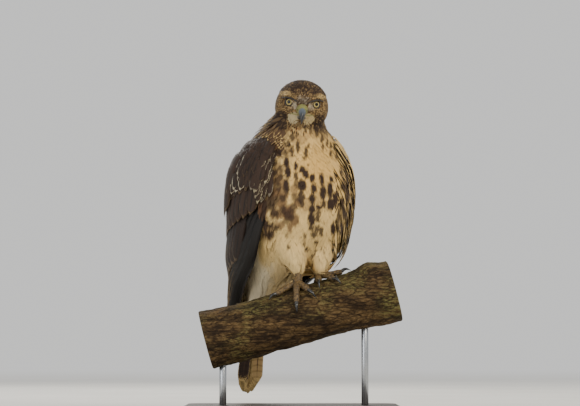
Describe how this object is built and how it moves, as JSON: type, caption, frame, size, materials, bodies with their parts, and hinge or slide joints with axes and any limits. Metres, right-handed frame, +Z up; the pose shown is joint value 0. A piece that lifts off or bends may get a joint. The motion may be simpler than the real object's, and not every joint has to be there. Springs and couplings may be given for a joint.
{
  "type": "red-tailed hawk model",
  "caption": "Still, life-size model of a juvenile red-tailed hawk, perched and facing forward on a cut length of branch held by a flat display stand.",
  "frame": {"origin": "centre of the underside of the stand's base plate, which lies on the floor", "axes": "+Z up; -Y is the side that the hawk looks towards; +X runs along the uphill end of the branch, to the viewer's right"},
  "size_m": [0.3354, 0.2715, 0.5209],
  "materials": {
    "head_plumage": "matte brown feathers with buff edges",
    "breast_plumage": "soft matte buff feathers with dark brown streaks",
    "wing_plumage": "matte dark brown feathers with pale edges and spots",
    "tail_plumage": "satin tan-brown feathers with narrow dark bars",
    "cere": "waxy greenish-yellow skin",
    "bill": "polished blue-grey horn with a black tip",
    "eye": "clear gloss over a pale yellow iris and black pupil",
    "foot_skin": "scaly dull yellow skin",
    "claw": "glossy black horn",
    "bark": "rough furrowed bark with sawn ends",
    "stand_wood": "dark satin varnish",
    "stand_steel": "brushed"
  },
  "bodies": {
    "root": {"head": "head_plumage", "neck": "head_plumage", "breast": "breast_plumage", "belly": "breast_plumage", "rump": "breast_plumage", "tail": "tail_plumage", "cere": "cere", "bill_upper": "bill", "bill_lower": "bill", "eye_left": "eye", "eye_right": "eye", "wing_left": "wing_plumage", "wing_right": "wing_plumage", "thigh_left": "breast_plumage", "thigh_right": "breast_plumage", "foot_left": "foot_skin", "foot_right": "foot_skin", "claw_left_hallux": "claw", "claw_left_inner": "claw", "claw_left_middle": "claw", "claw_left_outer": "claw", "claw_right_hallux": "claw", "claw_right_inner": "claw", "claw_right_middle": "claw", "claw_right_outer": "claw", "branch": "bark", "stand_base": "stand_wood", "stand_rod_1": "stand_steel", "stand_rod_2": "stand_steel"}
  },
  "joints": []
}
